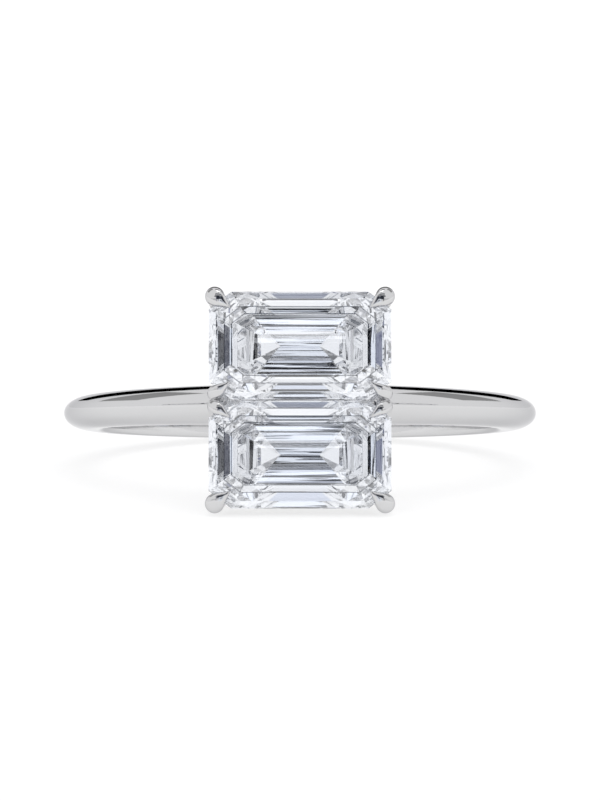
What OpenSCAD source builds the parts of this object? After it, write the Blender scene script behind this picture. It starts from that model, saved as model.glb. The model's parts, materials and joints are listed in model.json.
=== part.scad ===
// Ring with two step cut stones laid across the finger, one above the other.
// It is drawn with the finger along Y and the head up, and then laid on its side to rest.

/* [Band] */
// Inside diameter of the band
finger_d = 17.3; // [15.7:0.1:19.8]
// Thickness of the band, from the finger to its crest
band_t = 1.7; // [1.5:0.05:2]
// Width of the band at the back and the sides
band_w_back = 1.5; // [1.4:0.02:1.8]
// Width of the band under the head
band_w_head = 1.7; // [1.6:0.02:2.1]
// Depth of the rounded outside of the band
dome_depth = 1.25; // [1:0.05:1.3]
// Squareness of that dome, where 2 is an ellipse
dome_power = 2.1; // [2:0.1:3]
// Rounding of the two edges that touch the finger
edge_r = 0.24; // [0.15:0.01:0.3]

/* [Stones] */
// Length of a stone, across the finger
stone_l = 7.52; // [7.4:0.02:7.8]
// Width of a stone, along the finger
stone_w = 4.44; // [4.2:0.02:4.6]
// Leg of the cut corners along the stone's length
corner_cut_l = 0.93; // [0.8:0.01:1]
// Leg of the cut corners along the stone's width
corner_cut_w = 0.72; // [0.65:0.01:0.85]
// Thickness of the girdle
girdle_t = 0.12; // [0.08:0.02:0.2]
// Length of the keel line under a stone
keel_l = 1.6; // [1.5:0.1:2.4]
// Clearance between the two stones
stone_gap = 0.05; // [0.04:0.01:0.1]
// Height of the girdles' middle above the band's crest
stone_lift = 2.4; // [2.3:0.05:2.7]

/* [Setting] */
// Clearance between the stones and the metal
seat_gap = 0.03; // [0.02:0.01:0.05]
// Radius of a corner claw's round back
claw_r = 0.42; // [0.38:0.01:0.44]
// Radius of a middle claw's round back
mid_claw_r = 0.33; // [0.3:0.01:0.35]
// Distance from a claw's round back to its point
claw_reach = 0.86; // [0.8:0.01:0.9]
// Radius of the posts at their feet
post_r = 0.36; // [0.34:0.01:0.4]
// Radius of the rails and bars
rail_r = 0.27; // [0.22:0.01:0.3]
// Depth of the upper rail below the girdles' middle
upper_rail_drop = 1.52; // [1.5:0.02:1.6]
// Depth of the lower rail below the band's crest
lower_rail_drop = 0.3; // [0.25:0.05:0.35]

/* [Hidden] */

bore_r = finger_d / 2;
band_r = bore_r + band_t;
stations = 72;
dome_steps = 12;
edge_steps = 3;
edge_turn = 60;
bore_stub = 0.1;

half_l = stone_l / 2;
half_w = stone_w / 2;
pitch = stone_w + stone_gap;
girdle_h = band_r + stone_lift;

// Steps of the cut from the girdle to the table, and from the girdle down: columns RUN and ANGLE
RUN = 0;
ANGLE = 1;
crown_steps = [[0.3, 44], [0.345, 32.5], [0.345, 23.4]];
pavilion_steps = [[0.66, 56.8], [0.95, 45.6], [0.61, 29.8]];

// Slices of a claw above the girdle's top: columns RISE, LEAN towards the stone, BACK and POINT, the
// last two as shares of the round back's radius and of the reach
RISE = 0;
LEAN = 1;
BACK = 2;
POINT = 3;
claw_slices = [
    [-0.5, 0, 0.95, 0],
    [-0.2, 0, 0.99, 0],
    [0, 0, 1, 0.9],
    [0.22, 0.02, 0.98, 1],
    [0.42, 0.07, 0.88, 1],
    [0.56, 0.14, 0.72, 0.93],
    [0.66, 0.22, 0.52, 0.76],
    [0.72, 0.3, 0.28, 0.48]
];
claw_sides = 16;

// Places of the claws' round backs, from the middle of the head
corner_back = [half_l - 0.25, pitch / 2 + half_w - 0.2];
corner_aim = 217.5;
mid_back = [half_l - 0.27, 0.27];
mid_aim = 142.5;

// Feet of the corner posts and of the shared middle posts
foot_x = 2.75;
foot_y = 3.15;
lower_rail_h = band_r - lower_rail_drop;
foot_h = lower_rail_h - rail_r - 0.08;
upper_rail_h = girdle_h - upper_rail_drop;
mid_post_x = half_l - 0.3;
mid_post_r = 0.4;

// Sum of the first n entries of a list
function sum_to(v, n) = n <= 0 ? 0 : v[n - 1] + sum_to(v, n - 1);
function rise_of(step) = step[RUN] * tan(step[ANGLE]);
function power_of(x, p) = sign(x) * pow(abs(x), p);

// Triangles that join rings of n points, stacked upwards with each ring turning left. A loop joins
// its last ring to its first, and a stack gets two caps.
function skin_faces(rings, n, loop) = concat(
    [for (i = [0:rings - (loop ? 1 : 2)], j = [0:n - 1])
        [i * n + j, (i + 1) % rings * n + j, (i + 1) % rings * n + (j + 1) % n]],
    [for (i = [0:rings - (loop ? 1 : 2)], j = [0:n - 1])
        [i * n + j, (i + 1) % rings * n + (j + 1) % n, i * n + (j + 1) % n]],
    loop ? [] : [[for (j = [0:n - 1]) j], [for (j = [n - 1:-1:0]) (rings - 1) * n + j]]
);

module skin(rings, loop = false)
    polyhedron([for (r = rings) each r], skin_faces(len(rings), len(rings[0]), loop));

// Width of the band at an angle from the head: it narrows towards the sides and then stays even
function band_w(a) = band_w_back + (band_w_head - band_w_back) * pow(max(0, cos(a)), 3);

// Half of the inner edge's rounding as [radius, distance from the side]. Its last stretch runs on
// straight into the bore, which is cut afterwards.
function band_edge() =
    let (
        round_part = [for (i = [0:edge_steps]) let (t = edge_turn * i / edge_steps)
            [bore_r + edge_r * (1 - sin(t)), edge_r * (1 - cos(t))]],
        last = round_part[edge_steps],
        drop = last[0] - bore_r + bore_stub
    )
    concat(round_part, [[last[0] - drop, last[1] + drop * tan(edge_turn)]]);

// Section of the band as [radius, place along the finger]
function band_section(a) =
    let (w = band_w(a) / 2, dome_r = band_r - dome_depth, p = 2 / dome_power, edge = band_edge())
    concat(
        [for (i = [0:dome_steps]) let (t = 180 * i / dome_steps)
            [dome_r + dome_depth * power_of(sin(t), p), w * power_of(cos(t), p)]],
        [for (e = edge) [e[0], e[1] - w]],
        [for (i = [len(edge) - 1:-1:0]) [edge[i][0], w - edge[i][1]]]
    );

function band_ring(a) = [for (p = band_section(a)) [p[0] * sin(a), p[1], p[0] * cos(a)]];

// Outline of a stone, inset from the girdle, with its corners cut by a share of their legs
function stone_ring(side_in, end_in, cut, h) =
    let (x = half_l - end_in, y = half_w - side_in, a = corner_cut_l * cut, b = corner_cut_w * cut)
    [[x, b - y, h], [x, y - b, h], [x - a, y, h], [a - x, y, h],
     [-x, y - b, h], [-x, b - y, h], [a - x, -y, h], [x - a, -y, h]];

// Rings of a stone from the lowest step up to the table, grown by g on every side
function stone_rings(g) =
    let (
        end_share = (half_l - keel_l / 2) / half_w,
        crown_run = [for (s = crown_steps) s[RUN]],
        crown_rise = [for (s = crown_steps) rise_of(s)],
        pavilion_run = [for (s = pavilion_steps) s[RUN]],
        pavilion_rise = [for (s = pavilion_steps) rise_of(s)]
    )
    concat(
        [for (n = [len(pavilion_steps) - 1:-1:0]) let (d = sum_to(pavilion_run, n))
            stone_ring(d - g, d * end_share - g, 1 - d / half_w,
                       -girdle_t / 2 - sum_to(pavilion_rise, n) - g / 2)],
        [for (n = [0:len(crown_steps)]) let (d = sum_to(crown_run, n))
            stone_ring(d - g, d - g, 1 - d / half_w,
                       girdle_t / 2 + sum_to(crown_rise, n) + g / 2)]
    );

function keel_depth() = girdle_t / 2 + sum_to([for (s = pavilion_steps) rise_of(s)], len(pavilion_steps));

// The keel's two ends, after the rings' points, close the underside with triangles and two quads
function keel_end(i, n) = i < 3 || i == 7 ? n : n + 1;

module stone_solid(g = 0) {
    rings = stone_rings(g);
    n = len(rings) * 8;
    points = concat([for (r = rings) each r],
                    [for (s = [1, -1]) [s * (keel_l / 2 + g), 0, -keel_depth() - g / 2]]);
    sides = [for (i = [0:len(rings) - 2], j = [0:7])
        [i * 8 + j, (i + 1) * 8 + j, (i + 1) * 8 + (j + 1) % 8, i * 8 + (j + 1) % 8]];
    under = [for (j = [0:7]) let (k = (j + 1) % 8, a = keel_end(j, n), b = keel_end(k, n))
        a == b ? [j, k, a] : [j, k, b, a]];
    top = [for (j = [7:-1:0]) (len(rings) - 1) * 8 + j];
    polyhedron(points, concat(sides, under, [top]));
}

// One slice of a claw: a round back whose sides run straight to a point, turned to aim
function claw_ring(at, aim, r, point, h) =
    let (spread = point > r ? acos(r / point) : 0)
    [for (j = [0:claw_sides - 1])
        let (a = 360 * j / claw_sides, off = min(a, 360 - a), reach = r / cos(max(0, spread - off)))
        [at[0] + reach * cos(aim + a), at[1] + reach * sin(aim + a), h]];

function claw_rings(at, aim, r) =
    [for (s = claw_slices)
        claw_ring(at + s[LEAN] * [cos(aim), sin(aim)], aim, r * s[BACK], claw_reach * s[POINT],
                  girdle_h + girdle_t / 2 + s[RISE])];

function post_ring(at, r, h) = claw_ring(at, corner_aim, r, 0, h);

function corner_claw_rings() = concat(
    [post_ring([foot_x, foot_y], post_r, foot_h)],
    claw_rings(corner_back, corner_aim, claw_r)
);

function mid_post_rings() = [
    post_ring([foot_x, 0], mid_post_r, foot_h),
    post_ring([mid_post_x, 0], mid_post_r, girdle_h - girdle_t)
];

// A copy in each quarter of the head
module quarters() {
    for (x = [0, 1], y = [0, 1])
        mirror([x, 0, 0]) mirror([0, y, 0]) children();
}

// A round bar from one point to another
module bar(a, b) {
    d = b - a;
    translate(a)
        rotate([0, acos(d[2] / norm(d)), atan2(d[1], d[0])])
            cylinder(h = norm(d), r = rail_r, $fn = 48);
}

// Where a post's centre line passes at height h
function post_at(foot, top, h) =
    let (neck_h = girdle_h + girdle_t / 2 + claw_slices[0][RISE], k = (h - foot_h) / (neck_h - foot_h))
    [foot[0] + k * (top[0] - foot[0]), foot[1] + k * (top[1] - foot[1]), h];

module band() {
    difference() {
        skin([for (i = [0:stations - 1]) band_ring(360 * i / stations)], loop = true);
        rotate([90, 0, 0]) cylinder(h = 2 * band_w_head, r = bore_r, center = true, $fn = 180);
    }
}

module claws() {
    quarters() {
        skin(corner_claw_rings());
        skin(claw_rings(mid_back, mid_aim, mid_claw_r));
    }
    for (x = [0, 1])
        mirror([x, 0, 0]) skin(mid_post_rings());
}

module rails() {
    upper = post_at([foot_x, foot_y], corner_back, upper_rail_h);
    mid = post_at([foot_x, 0], [mid_post_x, 0], upper_rail_h);
    lower = post_at([foot_x, foot_y], corner_back, lower_rail_h);
    for (c = [upper, lower], y = [1, -1])
        bar([-c[0], y * c[1], c[2]], [c[0], y * c[1], c[2]]);
    bar([-mid[0], 0, mid[2]], [mid[0], 0, mid[2]]);
    for (x = [1, -1]) {
        bar([x * lower[0], -lower[1], lower[2]], [x * lower[0], lower[1], lower[2]]);
        for (y = [1, -1])
            bar([x * mid[0], 0, mid[2]], [x * upper[0], y * upper[1], upper[2]]);
    }
}

// Rest on the side: the lower corner claws and the far side of the band touch the surface. Each
// function works on [x, y, z] points of the upright ring.
function height_of(p, tilt) = p[1] * cos(tilt) + p[2] * sin(tilt);
function depth_of(p, tilt) = p[1] * sin(tilt) - p[2] * cos(tilt);
claw_points = [for (r = corner_claw_rings()) each r];
lower_claw_points = [for (p = claw_points) [p[0], -p[1], p[2]]];
band_back_points = band_ring(180);
function claws_low(tilt) = min([for (p = lower_claw_points) height_of(p, tilt)]);
function band_low(tilt) = min([for (p = band_back_points) height_of(p, tilt)]);
function rest_tilt(lo, hi, n) =
    n == 0 ? (lo + hi) / 2 :
    let (mid = (lo + hi) / 2)
    claws_low(mid) < band_low(mid) ? rest_tilt(mid, hi, n - 1) : rest_tilt(lo, mid, n - 1);
tilt = rest_tilt(0, 30, 24);
front = min([for (p = lower_claw_points) depth_of(p, tilt)]);
back = max([for (p = band_back_points) depth_of(p, tilt)]);
rest_shift = [0, -(front + back) / 2, -band_low(tilt)];

module at_rest() {
    translate(rest_shift) rotate([90 - tilt, 0, 0]) children();
}

module stone(side) {
    color([0.9, 0.94, 1, 0.6])
        at_rest() translate([0, side * pitch / 2, girdle_h]) stone_solid();
}

module band_and_setting() {
    color([0.85, 0.85, 0.86])
        at_rest() union() {
            band();
            difference() {
                claws();
                for (side = [1, -1])
                    translate([0, side * pitch / 2, girdle_h]) stone_solid(seat_gap);
            }
            rails();
        }
}

module stone_upper() { stone(1); }
module stone_lower() { stone(-1); }

band_and_setting();
stone_upper();
stone_lower();
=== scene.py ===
import json
import math

import bmesh
import bpy
from mathutils import Matrix, Vector


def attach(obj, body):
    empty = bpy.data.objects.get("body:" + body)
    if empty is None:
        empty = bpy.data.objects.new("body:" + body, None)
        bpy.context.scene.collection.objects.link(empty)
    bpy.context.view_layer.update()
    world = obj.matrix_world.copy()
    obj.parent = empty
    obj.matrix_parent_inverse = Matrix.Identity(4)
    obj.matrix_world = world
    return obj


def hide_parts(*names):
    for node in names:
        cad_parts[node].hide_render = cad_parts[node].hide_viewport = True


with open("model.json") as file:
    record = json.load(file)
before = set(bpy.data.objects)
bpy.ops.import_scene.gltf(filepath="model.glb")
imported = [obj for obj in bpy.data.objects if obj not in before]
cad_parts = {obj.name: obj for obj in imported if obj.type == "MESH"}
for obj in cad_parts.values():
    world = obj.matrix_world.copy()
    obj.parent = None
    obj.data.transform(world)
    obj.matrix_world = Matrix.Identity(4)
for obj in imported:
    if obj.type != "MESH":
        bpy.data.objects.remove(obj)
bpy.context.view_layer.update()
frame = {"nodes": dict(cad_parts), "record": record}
print("frame loaded")

mm = 0.001
bore = frame["record"]["mounts"][0]
boreCentre = Vector(bore["pos_m"])
fingerDir = Vector(bore["axis"]).normalized()
acrossDir = Vector((1, 0, 0))
headDir = acrossDir.cross(fingerDir)  # from the middle of the band towards the stones

# Shapes are drawn upright in millimetres, with x across, y along the finger and z to the head
ringTurn = Matrix((acrossDir, fingerDir, headDir)).transposed().to_4x4()
toRow = Matrix.Translation(boreCentre) @ ringTurn @ Matrix.Scale(mm, 4)


def addNode(tree, kind, **values):
    node = tree.nodes.new(kind)
    for name, value in values.items():
        if hasattr(node, name):
            setattr(node, name, value)
        else:
            node.inputs[name.replace("_", " ")].default_value = value
    return node


def newMaterial(name):
    material = bpy.data.materials.new(name)
    material.use_nodes = True
    return material, material.node_tree, material.node_tree.nodes["Principled BSDF"]


# Polished white metal, with faint patches and hairlines from wear
metalLook = {
    "colour": (0.655, 0.655, 0.66, 1),
    "edgeTintAndPaintedLineColour": (0.72, 0.72, 0.73, 1),
    "smoothest": 0.03,
    "roughest": 0.08,
    "patchScale": 900,
    "patchDetail": 4,
    "patchLimits": (0.35, 0.7),
    "hairScale": 5200,
    "hairDetail": 3,
    "hairStretch": (1, 0.12, 1),
    "hairStrength": 0.04,
    "hairHeight": 0.02,
}


def makePolishedMetal():
    look = metalLook
    material, tree, shader = newMaterial("polishedWhiteMetal")
    shader.inputs["Base Color"].default_value = look["colour"]
    shader.inputs["Metallic"].default_value = 1
    shader.inputs["Specular Tint"].default_value = look["edgeTintAndPaintedLineColour"]
    place = addNode(tree, "ShaderNodeTexCoord")
    patches = addNode(tree, "ShaderNodeTexNoise", Scale=look["patchScale"], Detail=look["patchDetail"])
    low, high = look["patchLimits"]
    spread = addNode(tree, "ShaderNodeMapRange", From_Min=low, From_Max=high,
                     To_Min=look["smoothest"], To_Max=look["roughest"])
    stretch = addNode(tree, "ShaderNodeMapping", Scale=look["hairStretch"])
    hairs = addNode(tree, "ShaderNodeTexNoise", Scale=look["hairScale"], Detail=look["hairDetail"])
    bump = addNode(tree, "ShaderNodeBump", Strength=look["hairStrength"],
                   Distance=look["hairHeight"] * mm)
    link = tree.links.new
    link(place.outputs["Object"], patches.inputs["Vector"])
    link(patches.outputs["Fac"], spread.inputs["Value"])
    link(spread.outputs["Result"], shader.inputs["Roughness"])
    link(place.outputs["Object"], stretch.inputs["Vector"])
    link(stretch.outputs["Vector"], hairs.inputs["Vector"])
    link(hairs.outputs["Fac"], bump.inputs["Height"])
    link(bump.outputs["Normal"], shader.inputs["Normal"])
    return material


# Clear stone with a faint cool tint, uneven by a little, a frosted girdle, and painted shade: thin dark
# lines along the steps of the crown
stoneLook = {
    "clearest": (0.96, 0.975, 1, 1),
    "coolest": (0.91, 0.94, 1, 1),
    "tintScale": 260,
    "tintDetail": 2,
    "tintLimits": (0.35, 0.65),
    "bending": 2.42,
    "girdleHeight": 12.75,
    "girdleHalf": 0.058,
    "girdleRoughness": 0.3,
    # painted shade: heights, half width and colour of the dark lines painted along the crown's steps
    "paintedLineHeights": (13.319, 13.45),
    "paintedLineHalf": 0.009,
    "edgeTintAndPaintedLineColour": (0.06, 0.07, 0.09, 1),
}


def makeClearStone():
    look = stoneLook
    material, tree, shader = newMaterial("clearStone")
    shader.inputs["IOR"].default_value = look["bending"]
    shader.inputs["Transmission Weight"].default_value = 1
    place = addNode(tree, "ShaderNodeTexCoord")
    tint = addNode(tree, "ShaderNodeTexNoise", Scale=look["tintScale"], Detail=look["tintDetail"])
    colours = addNode(tree, "ShaderNodeValToRGB")
    for i, tone in enumerate((look["clearest"], look["coolest"])):
        colours.color_ramp.elements[i].position = look["tintLimits"][i]
        colours.color_ramp.elements[i].color = tone
    height = addNode(tree, "ShaderNodeVectorMath", operation="DOT_PRODUCT")
    height.inputs[1].default_value = headDir
    girdle = addNode(tree, "ShaderNodeMath", operation="COMPARE")
    girdle.inputs[1].default_value = boreCentre.dot(headDir) + look["girdleHeight"] * mm
    girdle.inputs[2].default_value = look["girdleHalf"] * mm
    frost = addNode(tree, "ShaderNodeMath", operation="MULTIPLY")
    frost.inputs[1].default_value = look["girdleRoughness"]
    link = tree.links.new
    colour = colours.outputs["Color"]
    # painted shade: each line darkens the base colour where facets would mirror dark surroundings
    for paintedLineHeight in look["paintedLineHeights"]:  # a thin dark line along each step of the crown
        edge = addNode(tree, "ShaderNodeMath", operation="COMPARE")
        edge.inputs[1].default_value = boreCentre.dot(headDir) + paintedLineHeight * mm
        edge.inputs[2].default_value = look["paintedLineHalf"] * mm
        line = addNode(tree, "ShaderNodeMix", data_type="RGBA")
        line.inputs[7].default_value = look["edgeTintAndPaintedLineColour"]
        link(height.outputs["Value"], edge.inputs[0])
        link(edge.outputs["Value"], line.inputs[0])
        link(colour, line.inputs[6])
        colour = line.outputs[2]
    link(place.outputs["Object"], tint.inputs["Vector"])
    link(tint.outputs["Fac"], colours.inputs["Fac"])
    link(colour, shader.inputs["Base Color"])
    link(place.outputs["Object"], height.inputs[0])
    link(height.outputs["Value"], girdle.inputs[0])
    link(girdle.outputs["Value"], frost.inputs[0])
    link(frost.outputs["Value"], shader.inputs["Roughness"])
    return material


def objectOf(bm, name):
    mesh = bpy.data.meshes.new(name)
    bm.to_mesh(mesh)
    bm.free()
    made = bpy.data.objects.new(name, mesh)
    bpy.context.scene.collection.objects.link(made)
    return made


def signedPower(value, power):
    return math.copysign(abs(value) ** power, value)


# Band: a domed section spun round the finger and narrowed from the head to the sides
bandShape = {
    "boreRadius": bore["dims"]["r_mm"],
    "crestRadius": 10.34,
    "headWidth": 1.69,
    "backWidth": 1.488,
    "narrowing": 3,
    "domeDepth": 1.25,
    "domePower": 2.1,
    "edgeRound": 0.24,
    "stations": 240,
    "domePoints": 28,
    "edgePoints": 6,
    "mergeWithin": 0.0001,
}


def bandWidth(angle):
    b = bandShape
    share = max(0, math.cos(angle)) ** b["narrowing"]
    return b["backWidth"] + (b["headWidth"] - b["backWidth"]) * share


def bandProfile():
    b = bandShape
    half = b["headWidth"] / 2
    inner = b["crestRadius"] - b["domeDepth"]
    points = []
    for i in range(b["domePoints"] + 1):
        t = math.pi * i / b["domePoints"]
        points.append((half * signedPower(math.cos(t), 2 / b["domePower"]),
                       inner + b["domeDepth"] * signedPower(math.sin(t), 2 / b["domePower"])))
    edge = []
    for i in range(b["edgePoints"] + 1):
        t = math.pi / 2 * i / b["edgePoints"]
        edge.append((half - b["edgeRound"] * (1 - math.cos(t)),
                     b["boreRadius"] + b["edgeRound"] * (1 - math.sin(t))))
    points += [(-y, z) for y, z in edge]
    points += reversed(edge)
    return points


def makeBand():
    b = bandShape
    bm = bmesh.new()
    verts = [bm.verts.new((0, y, z)) for y, z in bandProfile()]
    edges = [bm.edges.new((verts[i - 1], verts[i])) for i in range(len(verts))]
    bmesh.ops.spin(bm, geom=verts + edges, cent=(0, 0, 0), axis=(0, 1, 0), angle=2 * math.pi,
                   steps=b["stations"], use_merge=True, use_duplicate=False)
    bmesh.ops.remove_doubles(bm, verts=bm.verts, dist=b["mergeWithin"])
    for v in bm.verts:
        v.co.y *= bandWidth(math.atan2(v.co.x, v.co.z)) / b["headWidth"]
    bmesh.ops.recalc_face_normals(bm, faces=bm.faces)
    print("band spun")
    return objectOf(bm, "bandCore")


# Setting: posts that end in claws, and the rails and bars between them
settingShape = {
    "girdleTop": 12.81,
    "cornerBack": (3.51, 4.265),
    "cornerRadius": 0.405,
    "middleBack": (3.49, 0.27),
    "middleRadius": 0.325,
    "reach": 0.855,
    "reachPower": 0.8,
    "aim": math.radians(37.5),
    "clawTop": 0.705,
    "clawPower": 2.9,
    "clawLean": 0.3,
    "clawLeanPower": 3,
    "neckDrop": 0.5,
    "neckShare": 0.95,
    "neckRise": 0.3,
    "foot": (2.75, 3.15),
    "footHeight": 9.7,
    "footRadius": 0.355,
    "middlePost": (3.22, 0),
    "middlePostRadius": 0.395,
    "middlePostTop": 12.625,
    "middlePostSlope": math.tan(math.radians(13.5)),
    "railRadius": 0.27,
    "upperRail": 11.23,
    "lowerRail": 10.05,
    "clawSides": 48,
    "clawRings": 20,
    "barSides": 28,
    "sharpAngle": math.radians(38),
}


def neckHeight():
    return settingShape["girdleTop"] - settingShape["neckDrop"]


def placeRing(verts, centre, height, radius, reach=0, lean=0):
    # a round back whose sides run straight to a point towards the stone
    s = settingShape
    spread = math.acos(radius / reach) if reach > radius else 0
    middle = [centre[0] - lean * math.cos(s["aim"]), centre[1] - lean * math.sin(s["aim"])]
    for i, v in enumerate(verts):
        turn = 2 * math.pi * i / len(verts)
        out = radius / math.cos(max(0, spread - min(turn, 2 * math.pi - turn)))
        way = math.pi + s["aim"] + turn
        v.co = (middle[0] + out * math.cos(way), middle[1] + out * math.sin(way), height)


def stackRings(bm, rings):
    sides = settingShape["clawSides"]
    loop = list(bmesh.ops.create_circle(bm, cap_ends=False, segments=sides, radius=1)["verts"])
    placeRing(loop, *rings[0])
    bm.faces.new(reversed(loop))
    for ring in rings[1:]:
        edges = [bm.edges.get((loop[i - 1], loop[i])) for i in range(sides)]
        made = set(bmesh.ops.extrude_edge_only(bm, edges=edges)["geom"])
        loop = [next(w for w in (e.other_vert(v) for e in v.link_edges) if w in made) for v in loop]
        placeRing(loop, *ring)
    bm.faces.new(loop)


def clawHead(centre, radius):
    # the claw bends over the stone and ends in a rounded top
    s = settingShape
    rings = []
    for i in range(s["clawRings"]):
        t = math.pi / 2 * i / s["clawRings"]
        share = math.cos(t) ** (2 / s["clawPower"])
        rise = math.sin(t) ** (2 / s["clawPower"])
        rings.append((centre, s["girdleTop"] + s["clawTop"] * rise, radius * share,
                      s["reach"] * share ** s["reachPower"],
                      s["clawLean"] * rise ** s["clawLeanPower"]))
    return rings


def makeCornerClaw(bm):
    s = settingShape
    stackRings(bm, [
        (s["foot"], s["footHeight"], s["footRadius"]),
        (s["cornerBack"], neckHeight(), s["cornerRadius"] * s["neckShare"]),
        (s["cornerBack"], neckHeight() + s["neckRise"], s["cornerRadius"]),
        *clawHead(s["cornerBack"], s["cornerRadius"]),
    ])


def makeMiddleClaw(bm):
    s = settingShape
    stackRings(bm, [
        (s["middleBack"], neckHeight(), s["middleRadius"] * s["neckShare"]),
        *clawHead(s["middleBack"], s["middleRadius"]),
    ])
    # the middle claws point away from the ones beside them
    for v in bm.verts:
        v.co.y = 2 * s["middleBack"][1] - v.co.y
    bmesh.ops.reverse_faces(bm, faces=bm.faces)


def makeMiddlePost(bm):
    s = settingShape
    stackRings(bm, [
        ((s["foot"][0], 0), s["footHeight"], s["middlePostRadius"]),
        (s["middlePost"], s["middlePostTop"], s["middlePostRadius"]),
    ])
    # its top slopes, which shows between the corners of the stones
    for v in bm.verts:
        if v.co.z > s["upperRail"]:
            v.co.z -= s["middlePostSlope"] * v.co.y


def barBetween(bm, start, end):
    s = settingShape
    way = Vector(end) - Vector(start)
    turn = way.to_track_quat("Z", "Y").to_matrix().to_4x4()
    bmesh.ops.create_cone(bm, cap_ends=True, cap_tris=False, segments=s["barSides"],
                          radius1=s["railRadius"], radius2=s["railRadius"], depth=way.length,
                          matrix=Matrix.Translation((Vector(start) + Vector(end)) / 2) @ turn)


def postAt(top, topHeight, height, foot):
    s = settingShape
    share = (height - s["footHeight"]) / (topHeight - s["footHeight"])
    return [foot[i] + share * (top[i] - foot[i]) for i in range(2)]


def makeRails(bm):
    s = settingShape
    for height in (s["upperRail"], s["lowerRail"]):
        x, y = postAt(s["cornerBack"], neckHeight(), height, s["foot"])
        for side in (1, -1):
            barBetween(bm, (-x, side * y, height), (x, side * y, height))
            if height == s["lowerRail"]:
                barBetween(bm, (side * x, -y, height), (side * x, y, height))
    upper = s["upperRail"]
    x, y = postAt(s["cornerBack"], neckHeight(), upper, s["foot"])
    middle = postAt(s["middlePost"], s["middlePostTop"], upper, (s["foot"][0], 0))[0]
    barBetween(bm, (-middle, 0, upper), (middle, 0, upper))
    for sideX in (1, -1):
        for sideY in (1, -1):
            barBetween(bm, (sideX * middle, 0, upper), (sideX * x, sideY * y, upper))


def pourInto(bm, part):
    mesh = bpy.data.meshes.new("part")
    part.to_mesh(mesh)
    part.free()
    bm.from_mesh(mesh)
    bpy.data.meshes.remove(mesh)


def mirrored(make, quarters):
    # one solid in each quarter or half of the head
    bm = bmesh.new()
    for sideX, sideY in quarters:
        part = bmesh.new()
        make(part)
        for v in part.verts:
            v.co.x *= sideX
            v.co.y *= sideY
        if sideX * sideY < 0:
            bmesh.ops.reverse_faces(part, faces=part.faces)
        pourInto(bm, part)
    return bm


# Notches in the claws: the clearance is in millimetres, and the merge distance in metres
notch = {
    "clearance": 0.03,
    "mergeWithin": 0.000001,
    "flatWithin": 0.001,
}


def stoneCutter(node):
    # a copy of the stone in millimetres, grown by the clearance
    bm = bmesh.new()
    bm.from_mesh(node.data)
    bmesh.ops.remove_doubles(bm, verts=bm.verts, dist=notch["mergeWithin"])
    bmesh.ops.dissolve_limit(bm, angle_limit=notch["flatWithin"], verts=bm.verts, edges=bm.edges)
    bm.transform(toRow.inverted())
    bm.normal_update()
    moves = [(v, v.co + v.normal * notch["clearance"] * v.calc_shell_factor()) for v in bm.verts]
    for v, place in moves:
        v.co = place
    return objectOf(bm, "cutter")


def applySteps(base, steps):
    for operation, other in steps:
        tool = base.modifiers.new(operation, "BOOLEAN")
        tool.operation = operation
        tool.solver = "EXACT"
        tool.use_self = operation == "UNION"
        tool.object = other
    graph = bpy.context.evaluated_depsgraph_get()
    mesh = bpy.data.meshes.new_from_object(base.evaluated_get(graph))
    base.modifiers.clear()
    base.data = mesh
    for _, other in steps:
        bpy.data.objects.remove(other)


stoneNames = ("stone_upper", "stone_lower")


def makeBandAndSetting(material):
    corners = [(1, 1), (-1, 1), (-1, -1), (1, -1)]
    halves = corners[:2]
    claws = mirrored(makeCornerClaw, corners)
    pourInto(claws, mirrored(makeMiddleClaw, corners))
    pourInto(claws, mirrored(makeMiddlePost, halves))
    clawObject = objectOf(claws, "claws")
    rails = bmesh.new()
    makeRails(rails)
    railObject = objectOf(rails, "rails")
    cutters = [stoneCutter(frame["nodes"][name]) for name in stoneNames]
    piece = makeBand()
    applySteps(piece, [("UNION", clawObject), ("UNION", railObject)])
    print("metal joined:", len(piece.data.polygons), "faces")
    applySteps(piece, [("DIFFERENCE", cutter) for cutter in cutters])
    print("claws notched:", len(piece.data.polygons), "faces")
    piece.name = "bandAndSetting"
    piece.data.name = piece.name
    piece.data.transform(toRow)
    piece.data.materials.clear()
    piece.data.materials.append(material)
    piece.data.shade_smooth()
    piece.data.set_sharp_from_angle(angle=settingShape["sharpAngle"])
    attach(piece, "root")
    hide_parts("band_and_setting")


def dressStones(material):
    for name in stoneNames:
        node = frame["nodes"][name]
        node.data.materials.clear()
        node.data.materials.append(material)
    print("stones dressed")


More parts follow.
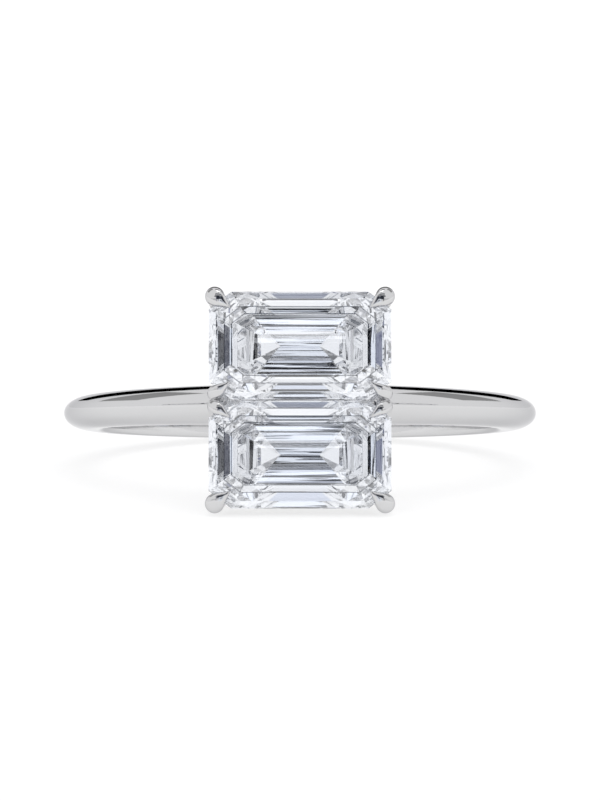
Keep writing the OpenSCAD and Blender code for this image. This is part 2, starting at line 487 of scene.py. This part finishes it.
# Studio: a pale floor, a soft lamp, and an even bright surround with darker cards in it. A card lies
# between limits in degrees: rise (from the camera's side over the top), side (from the camera's side
# to the right), away (from the camera's side), lean (from the top to either side), aside (side,
# either way) and slant (away less half the lean).
studio = {
    "floorRadius": 1.2,
    "floorSides": 96,
    "floorColour": (0.3, 0.3, 0.302, 1),
    "floorRoughness": 0.9,
    "floorGlow": 0.73,
    "lampPower": 0.85,
    "lampSpread": math.radians(70),
    "lampTurn": (math.radians(12), math.radians(8), 0),
    "surround": (0.97, 0.97, 0.98),
    # bright panel round the camera
    "panel": {"light": (1.04, 1.08, 1.16), "rise": (-12, 12), "side": (-10, 10)},
    "cards": [
        # dark gaps in the panel, which the tables mirror
        {"light": (0.02, 0.02, 0.025), "rise": (3.7, 4.12), "side": (-2.5, 2.5)},
        {"light": (0.02, 0.02, 0.025), "rise": (4.29, 4.58), "side": (-2.5, 2.5)},
        {"light": (0.02, 0.02, 0.025), "rise": (4.985, 5.86), "side": (-2.5, 2.5)},
        {"light": (0.02, 0.02, 0.025), "rise": (3.7, 6.2), "aside": (0.56, 2.5)},
        # dark cards over the camera, and strips over and under it for the lines along the stones
        {"light": (0.04, 0.045, 0.06), "rise": (9, 37.4), "aside": (0, 26)},
        {"light": (0.04, 0.045, 0.06), "rise": (27, 37.4), "aside": (26, 40)},
        {"light": (0.45, 0.47, 0.55), "rise": (-5.0, -4.88), "side": (-3, 3)},
        {"light": (0.25, 0.27, 0.34), "rise": (-4.05, -3.93), "side": (-3, 3)},
        {"light": (0, 0, 0), "rise": (-4.447, -4.425), "side": (-3, 3)},
        {"light": (0, 0, 0), "rise": (-3.225, -3.195), "side": (-3, 3)},
        {"light": (0.02, 0.02, 0.03), "rise": (60, 66), "side": (-12, 12)},
        {"light": (0.78, 0.82, 0.92), "rise": (22.5, 25.5), "side": (-6, 6)},
        {"light": (0.02, 0.02, 0.03), "rise": (2, 3), "side": (-2.5, 2.5)},
        # dark cards that only the small facets and the claws see
        {"light": (0.1, 0.11, 0.13), "rise": (42.5, 53.4), "aside": (0, 38)},
        {"light": (0.03, 0.033, 0.045), "rise": (92, 104), "lean": (-1, 11)},
        # bright card over the ring, for the light on the claws
        {"light": (1.8, 1.8, 1.8), "rise": (72, 91), "lean": (-1, 11)},
        # strips beside the camera, for the bars at the stones' ends
        {"light": (0.02, 0.022, 0.03), "side": (24, 29), "rise": (-12, 25)},
        {"light": (0.19, 0.205, 0.3), "side": (-29, -24), "rise": (-12, 25)},
        {"light": (0.06, 0.065, 0.09), "side": (-9.5, -9), "rise": (2, 9)},
        {"light": (0, 0, 0), "side": (-7.2, -6.2), "rise": (2, 9)},
        {"light": (0, 0, 0), "side": (46.28, 46.365), "rise": (2, 12)},
        {"light": (0, 0, 0), "side": (47.2, 48.2), "rise": (3, 10)},
        {"light": (0.1, 0.1, 0.12), "side": (-48.5, -46.9), "rise": (3, 10)},
        {"light": (0, 0, 0), "side": (-66.36, -65.8), "rise": (4, 14)},
        {"light": (0.12, 0.13, 0.16), "side": (65.8, 66.36), "rise": (4, 14)},
        # cards over the ring, for the two streaks along the band
        {"light": (0.36, 0.36, 0.36), "away": (98, 128), "lean": (24, 57)},
        {"light": (0, 0, 0), "slant": (120.5, 152), "away": (130, 158), "lean": (-1, 49)},
    ],
    # thin black strips across the camera's side, tuned for the strongest lines along the stones
    "strips": {
        "light": (0, 0, 0),
        "rises": (-6.44, -6.38, -6.33, -5.06, -4.97, 4.64, 4.74, 4.95, 5.95, 6.03, 23.446, 23.514),
        "halfHeight": 0.012,
        "side": (-3, 3),
    },
    # louvres of uneven fine slats, dark where the noise is under the first limit
    "slats": [
        {"across": "rise", "along": "side", "rise": (-9, 9), "side": (-0.56, 0.56)},
        {"across": "side", "along": "rise", "rise": (0, 14), "side": (-70, -5)},
        {"across": "side", "along": "rise", "rise": (0, 14), "side": (5, 70)},
    ],
    "slatScale": 2600,
    "slatDetail": 1,
    "slatLength": 55,
    "slatLimits": (0.41, 0.44),
    "slatLight": (0.02, 0.025, 0.035),
}


def makeFloor():
    bm = bmesh.new()
    bmesh.ops.create_circle(bm, cap_ends=True, segments=studio["floorSides"],
                            radius=studio["floorRadius"])
    floor = objectOf(bm, "studioFloor")
    material, tree, shader = newMaterial("paleFloor")
    shader.inputs["Base Color"].default_value = studio["floorColour"]
    shader.inputs["Roughness"].default_value = studio["floorRoughness"]
    shader.inputs["Emission Color"].default_value = (1, 1, 1, 1)
    shader.inputs["Emission Strength"].default_value = studio["floorGlow"]
    floor.data.materials.append(material)


def makeSurround():
    world = bpy.data.worlds.new("studioSurround")
    bpy.context.scene.world = world
    world.use_nodes = True
    tree = world.node_tree
    link = tree.links.new
    place = addNode(tree, "ShaderNodeTexCoord")

    def along(direction):
        node = addNode(tree, "ShaderNodeVectorMath", operation="DOT_PRODUCT")
        node.inputs[1].default_value = direction
        link(place.outputs["Generated"], node.inputs[0])
        return node.outputs["Value"]

    def maths(operation, *values):
        node = addNode(tree, "ShaderNodeMath", operation=operation)
        for i, value in enumerate(values):
            if isinstance(value, (int, float)):
                node.inputs[i].default_value = value
            else:
                link(value, node.inputs[i])
        return node.outputs["Value"]

    near, up, right = along(cameraWay()), along(cameraUp()), along(acrossDir)
    angles = {
        "rise": maths("ARCTAN2", up, near),
        "side": maths("ARCTAN2", right, near),
        "away": maths("ARCCOSINE", near),
        "lean": maths("ARCTAN2", maths("ABSOLUTE", right), up),
    }
    angles["aside"] = maths("ABSOLUTE", angles["side"])
    angles["slant"] = maths("MULTIPLY_ADD", angles["lean"], -0.5, angles["away"])

    def within(limits):
        # one where a direction lies inside the limits, and zero elsewhere
        share = None
        for name, angle in angles.items():
            if name not in limits:
                continue
            low, high = (math.radians(a) for a in limits[name])
            inside = maths("COMPARE", angle, (low + high) / 2, (high - low) / 2)
            share = inside if share is None else maths("MULTIPLY", share, inside)
        return share

    def painted(colour, share, light):
        mix = addNode(tree, "ShaderNodeMix", data_type="RGBA")
        link(share, mix.inputs[0])
        if colour is None:
            mix.inputs[6].default_value = (*studio["surround"], 1)
        else:
            link(colour, mix.inputs[6])
        mix.inputs[7].default_value = (*light, 1)
        return mix.outputs[2]

    def slats(louvre):
        spot = addNode(tree, "ShaderNodeCombineXYZ")
        link(angles[louvre["across"]], spot.inputs[0])
        link(maths("DIVIDE", angles[louvre["along"]], studio["slatLength"]), spot.inputs[1])
        noise = addNode(tree, "ShaderNodeTexNoise", noise_dimensions="2D",
                        Scale=studio["slatScale"], Detail=studio["slatDetail"])
        link(spot.outputs["Vector"], noise.inputs["Vector"])
        dense, clear = studio["slatLimits"]
        dark = addNode(tree, "ShaderNodeMapRange", From_Min=clear, From_Max=dense)
        link(noise.outputs["Fac"], dark.inputs["Value"])
        return maths("MULTIPLY", dark.outputs["Result"], within(louvre))

    colour = painted(None, within(studio["panel"]), studio["panel"]["light"])
    for louvre in studio["slats"]:
        colour = painted(colour, slats(louvre), studio["slatLight"])
    for card in studio["cards"]:
        colour = painted(colour, within(card), card["light"])
    strips = studio["strips"]
    for rise in strips["rises"]:
        half = strips["halfHeight"]
        limits = {"rise": (rise - half, rise + half), "side": strips["side"]}
        colour = painted(colour, within(limits), strips["light"])
    link(colour, tree.nodes["Background"].inputs["Color"])


def makeLamp():
    # it lights the floor evenly and isn't mirrored in the ring
    data = bpy.data.lights.new("softLamp", "SUN")
    data.energy = studio["lampPower"]
    data.angle = studio["lampSpread"]
    lamp = bpy.data.objects.new("softLamp", data)
    bpy.context.scene.collection.objects.link(lamp)
    lamp.rotation_euler = studio["lampTurn"]
    lamp.visible_glossy = False
    lamp.visible_transmission = False


# Camera: the photo looks at the head from a little below the band's middle plane
cameraSetup = {
    "distance": 207,
    "below": 2.5,
    "aimHeight": 12.75,
    "focalPixels": 4720,
    "imageHeight": 800,
    "sensor": 36,
    "clipStart": 10,
}


def cameraWay():
    angle = math.radians(cameraSetup["below"])
    return headDir * math.cos(angle) - fingerDir * math.sin(angle)


def cameraUp():
    return cameraWay().cross(acrossDir)


def makeCamera():
    c = cameraSetup
    data = bpy.data.cameras.new("camera")
    data.sensor_fit = "VERTICAL"
    data.sensor_height = c["sensor"]
    data.lens = c["focalPixels"] * c["sensor"] / c["imageHeight"]
    data.clip_start = c["clipStart"] * mm
    camera = bpy.data.objects.new("camera", data)
    bpy.context.scene.collection.objects.link(camera)
    camera.location = boreCentre + cameraWay() * c["distance"] * mm
    aim = boreCentre + headDir * c["aimHeight"] * mm - camera.location
    camera.rotation_euler = aim.to_track_quat("-Z", "Y").to_euler()
    bpy.context.scene.camera = camera


makeBandAndSetting(makePolishedMetal())
dressStones(makeClearStone())
makeFloor()
makeSurround()
makeLamp()
print("studio set")
makeCamera()
bpy.context.scene.view_settings.view_transform = "Standard"

# Light crosses a cut stone many times before it leaves
bounces = 40
lightPaths = bpy.context.scene.cycles
lightPaths.max_bounces = bounces
lightPaths.glossy_bounces = bounces
lightPaths.transmission_bounces = bounces
print("camera placed")
